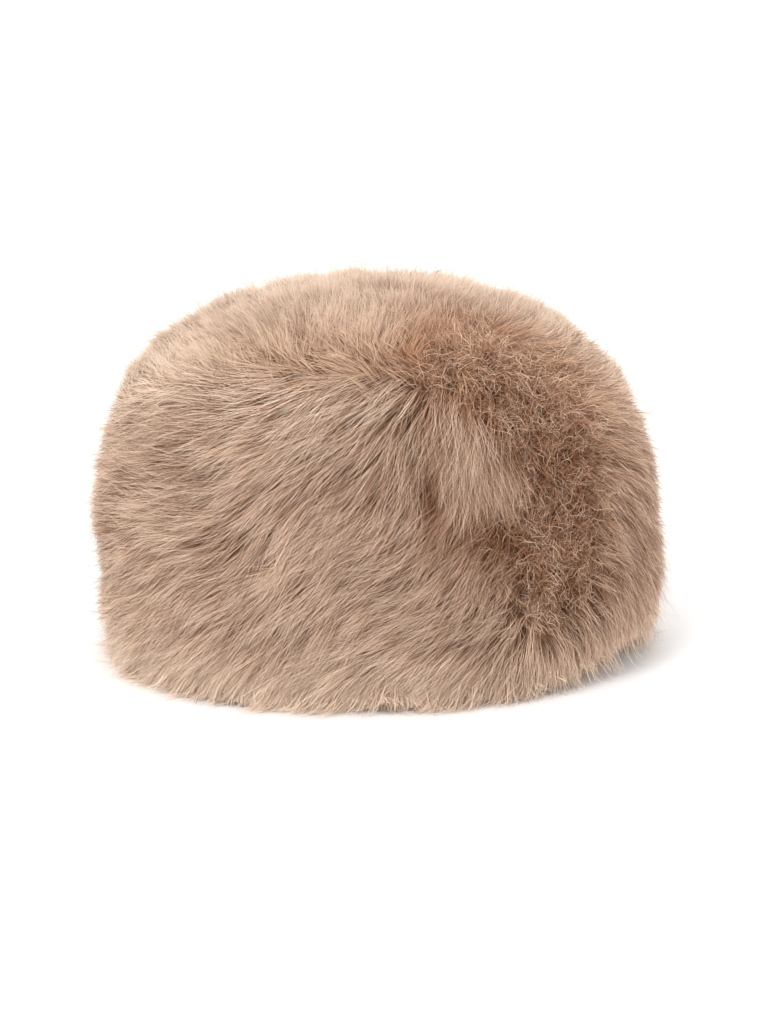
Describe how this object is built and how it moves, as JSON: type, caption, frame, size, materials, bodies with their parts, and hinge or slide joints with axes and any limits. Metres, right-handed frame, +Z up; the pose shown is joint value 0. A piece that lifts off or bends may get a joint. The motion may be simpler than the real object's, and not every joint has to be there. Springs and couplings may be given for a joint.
{
  "type": "fur pillbox hat",
  "caption": "Pillbox hat of deep long-haired fur: a rounded side band round the open head hollow, closed by a shallow domed crown.",
  "frame": {"origin": "centre of the hat's outer box in plan, on the surface that the rim rests on", "axes": "+Z up, from the rim to the crown; -Y towards the front that the picture shows; +X to the right of that view"},
  "size_m": [0.2422, 0.2533, 0.1572],
  "materials": {
    "band_fur": "deep matte pile, taupe hair tips over brown underfur",
    "crown_fur": "deep matte pile, pale beige hair tips"
  },
  "bodies": {
    "root": {"side_band": "band_fur", "crown": "crown_fur"}
  },
  "joints": []
}
